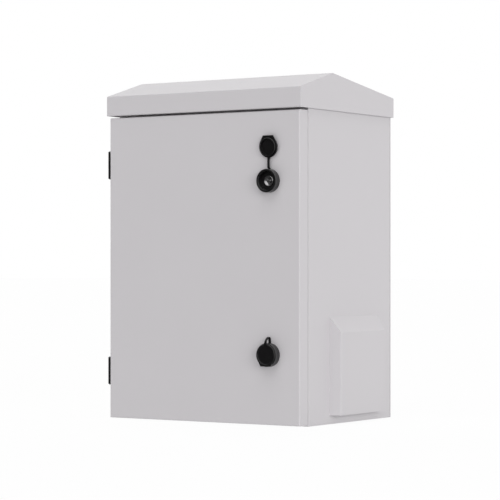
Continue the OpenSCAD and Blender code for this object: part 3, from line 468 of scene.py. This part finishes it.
def makeStrap(side):
    band, washer = bandSurface(side), washerSurface(side)
    rows, columns = band.shape[:2]
    faces = tubeFaces(rows, columns, 0, flip=True)
    faces += gridFaces(washer.shape[0], washer.shape[1], rows * columns, True, True)
    points = np.vstack([band.reshape(-1, 3), washer.reshape(-1, 3)])
    piece = newPiece(side + "CapStrap", points, faces, finishes["rubber"])
    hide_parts(side + "_lock_strap")
    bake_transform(piece)
    return piece


straps = [makeStrap(side) for side in ("upper", "lower")]
print("straps: %d points each" % len(straps[0].data.vertices))


# lock core: threaded end, square cam seat and round shaft behind the door, and in front of it
# a funnel with a double bit
lockCore = {
    "around": 128, "cornerReach": 0.00035, "cornerMost": 0.45, "cornerSteps": 4, "squarePower": 14.0,
    "threadLength": 0.0080, "threadPitch": 0.00125, "threadDepth": 0.0006, "stepsPerTurn": 8,
    "threadRadius": 0.0040, "squareHalf": 0.0045, "squareLength": 0.0030, "shaftRadius": 0.0080,
    # turned front, from the shaft to the middle: distance in front of the door, radius
    "front": [(0.0034, 0.0080), (0.0034, 0.0140), (0.0070, 0.0140), (0.0079, 0.0126), (0.0080, 0.0122),
              (0.0045, 0.0064), (0.0015, 0.0064), (0.0015, 0.0030), (0.0068, 0.0030), (0.0072, 0.0026),
              (0.0072, 0.0004)],
    "bitReach": 0.0060, "bitWidth": 0.0024, "bitLow": 0.0013, "bitHigh": 0.0064,
    "bitPower": 7.0, "aroundBit": 40,
    # rounded ends of the bit: share of its reach, share of its section
    "bitEnds": [(-1.0, 0.86), (-0.97, 1.0), (0.97, 1.0), (1.0, 0.86)]}


# point at the given reach from each corner towards another, at most a share of the way
def partWay(corner, other):
    gap = other - corner
    length = np.linalg.norm(gap, axis=1, keepdims=True)
    return corner + gap * np.minimum(lockCore["cornerReach"] / length, lockCore["cornerMost"])


# polyline with its corners rounded: a parabola from just before each corner to just after it
def softCorners(points):
    p = np.asarray(points, float)
    before, corner, after = p[:-2], p[1:-1], p[2:]
    start, end = partWay(corner, before)[:, None, :], partWay(corner, after)[:, None, :]
    u = np.linspace(0.0, 1.0, lockCore["cornerSteps"])[None, :, None]
    turned = (1 - u) ** 2 * start + 2 * u * (1 - u) * corner[:, None, :] + u ** 2 * end
    return np.vstack([p[:1], turned.reshape(-1, 2), p[-1:]])


# turned body: radius by height, squared at the cam seat and cut by a triangle wave at the threaded end
def coreSurface(side):
    middle = lockPlace[side]
    back = middle.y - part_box(side + "_lock_core")[1].y
    threadEnd = back + lockCore["threadLength"]
    squareEnd = threadEnd + lockCore["squareLength"]
    rows = int(lockCore["threadLength"] / lockCore["threadPitch"] * lockCore["stepsPerTurn"])
    cut = np.stack(
        [np.linspace(back, threadEnd, rows), np.full(rows, lockCore["threadRadius"])], axis=1)
    rest = softCorners(
        [(threadEnd, lockCore["threadRadius"]), (threadEnd, lockCore["squareHalf"]),
         (squareEnd, lockCore["squareHalf"]), (squareEnd, lockCore["shaftRadius"])] + lockCore["front"])
    height, radius = np.vstack([cut, rest]).T[:, :, None]
    angle = np.linspace(0.0, 2.0 * np.pi, lockCore["around"], endpoint=False)[None, :]
    power = lockCore["squarePower"]
    square = (np.abs(np.cos(angle)) ** power + np.abs(np.sin(angle)) ** power) ** (-1.0 / power)
    seat = (radius <= lockCore["squareHalf"]) & (height >= threadEnd) & (height <= squareEnd)
    phase = ((height - back) / lockCore["threadPitch"] - angle / (2.0 * np.pi)) % 1.0
    tip = np.clip(1.0 - (height - back) / lockCore["threadPitch"], 0.0, 1.0)
    groove = np.maximum(np.abs(2.0 * phase - 1.0), tip) * lockCore["threadDepth"] * (height < threadEnd)
    r = np.where(seat, radius * square, radius) - groove
    return np.stack([middle.x + r * np.cos(angle), np.broadcast_to(middle.y - height, r.shape),
                     middle.z + r * np.sin(angle)], axis=-1)


# double bit: a rounded bar across the middle of the funnel
def bitSurface(side):
    middle = lockPlace[side]
    low, high = lockCore["bitLow"], lockCore["bitHigh"]
    mid, half = (high + low) / 2, (high - low) / 2
    z, h = superellipse(lockCore["bitWidth"] / 2, half, lockCore["bitPower"], lockCore["aroundBit"])
    along, narrow = np.array(lockCore["bitEnds"]).T[:, :, None]
    x = np.broadcast_to(middle.x + along * lockCore["bitReach"], (len(along), len(z)))
    return np.stack([x, middle.y - mid - narrow * h, middle.z + narrow * z], axis=-1)


def makeCore(side):
    body, bit = coreSurface(side), bitSurface(side)
    faces = tubeFaces(body.shape[0], body.shape[1], 0, flip=True)
    faces += tubeFaces(bit.shape[0], bit.shape[1], body.shape[0] * body.shape[1], flip=True)
    points = np.vstack([body.reshape(-1, 3), bit.reshape(-1, 3)])
    piece = newPiece(side + "LockCore", points, faces, coreFinish[side])
    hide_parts(side + "_lock_core")
    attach(piece, side + "_lock")
    return piece


cores = [makeCore(side) for side in ("upper", "lower")]
print("lock cores: %d points each" % len(cores[0].data.vertices))


# door seal: a poured bead with a line pressed into it by the rain lip
doorBead = {
    "width": 0.0160, "power": 3.2, "pressDepth": 0.0016, "pressWidth": 0.0016, "cornerRadius": 0.014,
    "aroundBead": 56, "cornerSteps": 14, "sideSteps": 60}


# middle line of the bead: straight sides joined by quarter circles
def beadPath(halfX, lowZ, highZ):
    r, n = doorBead["cornerRadius"], doorBead["cornerSteps"]
    turns = np.linspace(0.0, np.pi / 2, n)
    corners = [(halfX - r, highZ - r, 0.0), (r - halfX, highZ - r, np.pi / 2),
               (r - halfX, lowZ + r, np.pi), (halfX - r, lowZ + r, 1.5 * np.pi)]
    parts, facings = [], []
    for k, (x, z, start) in enumerate(corners):
        angle = start + turns
        arc = np.stack([x + r * np.cos(angle), z + r * np.sin(angle)], axis=1)
        nx, nz, nStart = corners[(k + 1) % 4]
        last = np.array([nx + r * np.cos(nStart), nz + r * np.sin(nStart)])
        share = np.linspace(0.0, 1.0, doorBead["sideSteps"], endpoint=False)[1:, None]
        parts += [arc, arc[-1] + (last - arc[-1]) * share]
        facings += [np.stack([np.cos(angle), np.sin(angle)], axis=1),
                    np.repeat([[np.cos(angle[-1]), np.sin(angle[-1])]], len(share), axis=0)]
    return np.vstack(parts), np.vstack(facings)


# bead: a superellipse section carried round the path, its crest lowered by a narrow bell curve
def makeDoorBead():
    low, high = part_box("door_seal")
    half = doorBead["width"] / 2
    path, facing = beadPath(high.x - half, low.z + half, high.z - half)
    across, deep = superellipse(half, (high.y - low.y) / 2, doorBead["power"], doorBead["aroundBead"])
    crest = np.clip(deep / deep.max(), 0.0, 1.0)
    deep = deep - crest * doorBead["pressDepth"] * np.exp(-(across / doorBead["pressWidth"]) ** 2)
    flat = path[:, None, :] + facing[:, None, :] * across[None, :, None]
    y = np.broadcast_to((low.y + high.y) / 2 + deep, flat.shape[:2])
    points = np.stack([flat[..., 0], y, flat[..., 1]], axis=-1)
    faces = gridFaces(points.shape[0], points.shape[1], 0, True, True, flip=True)
    piece = newPiece("doorBead", points.reshape(-1, 3), faces, finishes["rubber"])
    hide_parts("door_seal")
    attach(piece, "door")
    return piece


bead = makeDoorBead()
print("door bead: %d points" % len(bead.data.vertices))


# filter mat: square pillow, soft at its edges, with a low quilted wave on both faces
filterMat = {
    "outlinePower": 14.0, "rimCrowd": 2.0, "edgePower": 5.0, "shoulder": 3.0, "wave": 0.0004, "waves": 9.0,
    "around": 160, "steps": 44}


# the outline is a superellipse drawn in from the rim to the middle on each face, over rows that run
# from the front middle over the rim to the back middle; the thickness falls off near the rim
def makeFilterMat(side):
    low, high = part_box(side + "_filter_mat")
    mid, half = (low + high) / 2, (high - low) / 2
    y, z = superellipse(half.y, half.z, filterMat["outlinePower"], filterMat["around"])
    share = np.linspace(1.0, -1.0, 2 * filterMat["steps"] + 1)[1:-1]
    reach = 1.0 - np.abs(share) ** filterMat["rimCrowd"]
    rise = np.sign(share) * (1.0 - reach ** filterMat["edgePower"]) ** (1.0 / filterMat["shoulder"])
    py, pz = reach[:, None] * y, reach[:, None] * z
    turns = np.pi * filterMat["waves"]
    wave = np.cos(turns * py / half.y) * np.cos(turns * pz / half.z)
    px = rise[:, None] * (half.x - filterMat["wave"] * (1.0 - wave))
    ring = np.stack([mid.x + px, mid.y + py, mid.z + pz], axis=-1)
    rows, columns = ring.shape[:2]
    poles = np.array([[mid.x + half.x, mid.y, mid.z], [mid.x - half.x, mid.y, mid.z]])
    points = np.vstack([ring.reshape(-1, 3), poles])
    turn = np.arange(columns)
    ahead = (turn + 1) % columns
    first = rows * columns
    capFront = np.stack([np.full(columns, first), turn, ahead], axis=1)
    last = (rows - 1) * columns
    capBack = np.stack([np.full(columns, first + 1), last + ahead, last + turn], axis=1)
    faces = gridFaces(rows, columns, 0, False, True) + capFront.tolist() + capBack.tolist()
    piece = newPiece(side + "FilterMat", points, faces, finishes["filter_foam"])
    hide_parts(side + "_filter_mat")
    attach(piece, "cabinet")
    return piece


mats = [makeFilterMat(side) for side in ("right", "left")]
print("filter mats: %d points each" % len(mats[0].data.vertices))


# earth stud with a cut thread
earthThread = {"pitch": 0.00125, "depth": 0.00065, "around": 48, "stepsPerTurn": 10, "lead": 0.0010}


# radius: a triangle wave of height less turn over the pitch, tapered at the free end
def makeEarthStud():
    low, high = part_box("earth_stud")
    mid, radius = (low + high) / 2, (high.x - low.x) / 2
    rows = int((high.z - low.z) / earthThread["pitch"] * earthThread["stepsPerTurn"])
    z = np.linspace(low.z, high.z, rows)[:, None]
    angle = np.linspace(0.0, 2.0 * np.pi, earthThread["around"], endpoint=False)[None, :]
    phase = ((z - low.z) / earthThread["pitch"] - angle / (2.0 * np.pi)) % 1.0
    taper = np.clip((z - high.z + earthThread["lead"]) / earthThread["lead"], 0.0, 1.0)
    r = radius - earthThread["depth"] * np.maximum(np.abs(2.0 * phase - 1.0), taper)
    grid = np.stack([mid.x + r * np.cos(angle), mid.y + r * np.sin(angle),
                     np.broadcast_to(z, r.shape)], axis=-1)
    faces = tubeFaces(rows, earthThread["around"], 0, flip=True)
    piece = newPiece("earthThread", grid.reshape(-1, 3), faces, finishes["brass"])
    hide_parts("earth_stud")
    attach(piece, "cabinet")
    return piece


earthStud = makeEarthStud()
print("earth stud: %d points" % len(earthStud.data.vertices))


# floor and light: soft lamps on the right, in front, above and behind, a low even sky,
# a white floor and backdrop for the camera, and a room that is dim in front for reflections
studio = {
    "floorHalf": 60.0, "floorColour": (0.93, 0.925, 0.93), "floorPatch": (0.935, 0.93, 0.935),
    "patchScale": 3.0, "patchDetail": 3.0, "floorGlow": 0.95, "bounceShare": 0.9, "bounceLevel": 0.82,
    "skyLevel": 0.15, "roomLevel": 0.05, "roomAim": (0.52, 0.46, 0.72), "roomDim": -0.50, "roomWhite": 0.34,
    "floorDim": -0.35, "floorWhite": 0.9,
    # each lamp: where it stands, strength, width across in degrees
    "lamps": {
        "rightLamp": ((1.0, 0.0, 0.05), 0.54, 40.0), "rightFrontLamp": ((0.85, -0.5, 0.15), 1.22, 30.0),
        "frontLamp": ((0.0, -1.0, 0.15), 0.69, 80.0), "topLamp": ((0.1, -0.45, 0.88), 0.92, 45.0),
        "overheadLamp": ((0.05, 0.2, 0.98), 0.74, 40.0), "backLamp": ((-0.65, 0.74, 0.2), 1.5, 80.0)}}
pureWhite = (1.0, 1.0, 1.0, 1.0)


def anyOf(tree, *rays):
    joined = rays[0]
    for ray in rays[1:]:
        joined = addNode(tree, "ShaderNodeMath", {0: joined, 1: ray}, operation="MAXIMUM").outputs[0]
    return joined


# level that reflections see: dim in front on the left, white behind, above and on the right
def roomGradient(tree, dim, white):
    along = addNode(tree, "ShaderNodeVectorMath", {
        0: objectPoint(tree), 1: studio["roomAim"]}, operation="DOT_PRODUCT")
    level = addNode(tree, "ShaderNodeMapRange", {
        "Value": along.outputs["Value"], "From Min": dim, "From Max": white,
        "To Min": studio["roomLevel"], "To Max": 1.0}, interpolation_type="SMOOTHSTEP")
    return level.outputs["Result"]


def makeFloor():
    mesh = bpy.data.meshes.new("studioFloor")
    h = studio["floorHalf"]
    mesh.from_pydata([(-h, -h, 0.0), (h, -h, 0.0), (h, h, 0.0), (-h, h, 0.0)], [], [(0, 1, 2, 3)])
    floor = bpy.data.objects.new("studioFloor", mesh)
    bpy.context.scene.collection.objects.link(floor)
    material = bpy.data.materials.new("paleFloor")
    material.use_nodes = True
    material.cycles.emission_sampling = "NONE"  # as for the sky: each ray sees its own level
    tree = material.node_tree
    tree.nodes.clear()
    patches = addNode(tree, "ShaderNodeTexNoise", {
        "Vector": objectPoint(tree), "Scale": studio["patchScale"], "Detail": studio["patchDetail"]})
    tone = mixColours(tree, patches.outputs["Fac"],
                      studio["floorColour"] + (1.0,), studio["floorPatch"] + (1.0,))
    paint = addNode(tree, "ShaderNodeBsdfDiffuse", {"Color": tone})
    rays = tree.nodes.new("ShaderNodeLightPath")
    seen = anyOf(tree, rays.outputs["Is Camera Ray"], rays.outputs["Is Transmission Ray"])
    seenShare = addNode(tree, "ShaderNodeMath", {
        0: seen, 1: studio["floorGlow"], 2: rays.outputs["Is Glossy Ray"]}, operation="MULTIPLY_ADD")
    # bounced rays see mostly the open floor's own level, so the foot of the cabinet stays pale
    share = addNode(tree, "ShaderNodeMath", {
        0: rays.outputs["Is Diffuse Ray"], 1: studio["bounceShare"], 2: seenShare.outputs[0]},
        operation="MULTIPLY_ADD", use_clamp=True)
    plain = addNode(tree, "ShaderNodeMix", {
        "Factor": rays.outputs["Is Diffuse Ray"], "A": 1.0, "B": studio["bounceLevel"]})
    level = addNode(tree, "ShaderNodeMix", {
        "Factor": rays.outputs["Is Glossy Ray"], "A": plain.outputs["Result"],
        "B": roomGradient(tree, studio["floorDim"], studio["floorWhite"])})
    glow = addNode(tree, "ShaderNodeEmission", {"Color": pureWhite, "Strength": level.outputs["Result"]})
    mixed = addNode(tree, "ShaderNodeMixShader", {
        0: share.outputs[0], 1: paint.outputs["BSDF"], 2: glow.outputs["Emission"]})
    output = tree.nodes.new("ShaderNodeOutputMaterial")
    tree.links.new(mixed.outputs["Shader"], output.inputs["Surface"])
    dress(floor, material)
    floor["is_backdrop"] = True


def makeLight():
    world = bpy.data.worlds.new("studioSky")
    bpy.context.scene.world = world
    world.use_nodes = True
    world.cycles.sampling_method = "NONE"  # each ray then sees the level meant for its own kind
    tree = world.node_tree
    tree.nodes.clear()
    rays = tree.nodes.new("ShaderNodeLightPath")
    mirrored = addNode(tree, "ShaderNodeMix", {
        "Factor": rays.outputs["Is Glossy Ray"], "A": studio["skyLevel"],
        "B": roomGradient(tree, studio["roomDim"], studio["roomWhite"])})
    level = addNode(tree, "ShaderNodeMix", {
        "Factor": anyOf(tree, rays.outputs["Is Camera Ray"], rays.outputs["Is Transmission Ray"]),
        "A": mirrored.outputs["Result"], "B": 1.0})
    sky = addNode(tree, "ShaderNodeBackground", {"Color": pureWhite, "Strength": level.outputs["Result"]})
    output = tree.nodes.new("ShaderNodeOutputWorld")
    tree.links.new(sky.outputs["Background"], output.inputs["Surface"])
    for name, (aim, strength, width) in studio["lamps"].items():
        lamp = bpy.data.lights.new(name, "SUN")
        lamp.energy = strength
        lamp.angle = math.radians(width)
        light = bpy.data.objects.new(name, lamp)
        light.rotation_mode = "QUATERNION"
        light.rotation_quaternion = Vector(aim).to_track_quat("Z", "Y")
        light.visible_glossy = False  # reflections see the room alone
        bpy.context.scene.collection.objects.link(light)


makeFloor()
makeLight()
print("studio: floor, sky and %d soft lamps" % len(studio["lamps"]))


# camera: level, at the height and distance that the cabinet's own edges give
viewPoint = {
    "place": (3.1373, -4.7346, 0.4034), "aim": (-0.55345, 0.83288, 0.0), "lens": 152.0, "sensor": 36.0,
    "sideShift": 0.0036, "riseShift": 0.0356}


def makeCamera():
    lens = bpy.data.cameras.new("viewPoint")
    lens.lens = viewPoint["lens"]
    lens.sensor_width = viewPoint["sensor"]
    lens.shift_x = viewPoint["sideShift"]
    lens.shift_y = viewPoint["riseShift"]
    camera = bpy.data.objects.new("viewPoint", lens)
    camera.location = viewPoint["place"]
    camera.rotation_mode = "QUATERNION"
    camera.rotation_quaternion = Vector(viewPoint["aim"]).to_track_quat("-Z", "Y")
    bpy.context.scene.collection.objects.link(camera)
    bpy.context.scene.camera = camera


makeCamera()
bpy.context.scene.view_settings.view_transform = "Standard"

shownLow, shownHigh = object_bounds()
cadSize = [round(v, 4) for v in cadHigh - cadLow]
shownSize = [round(v, 4) for v in shownHigh - shownLow]
print("box: cad %s, shown %s" % (cadSize, shownSize))
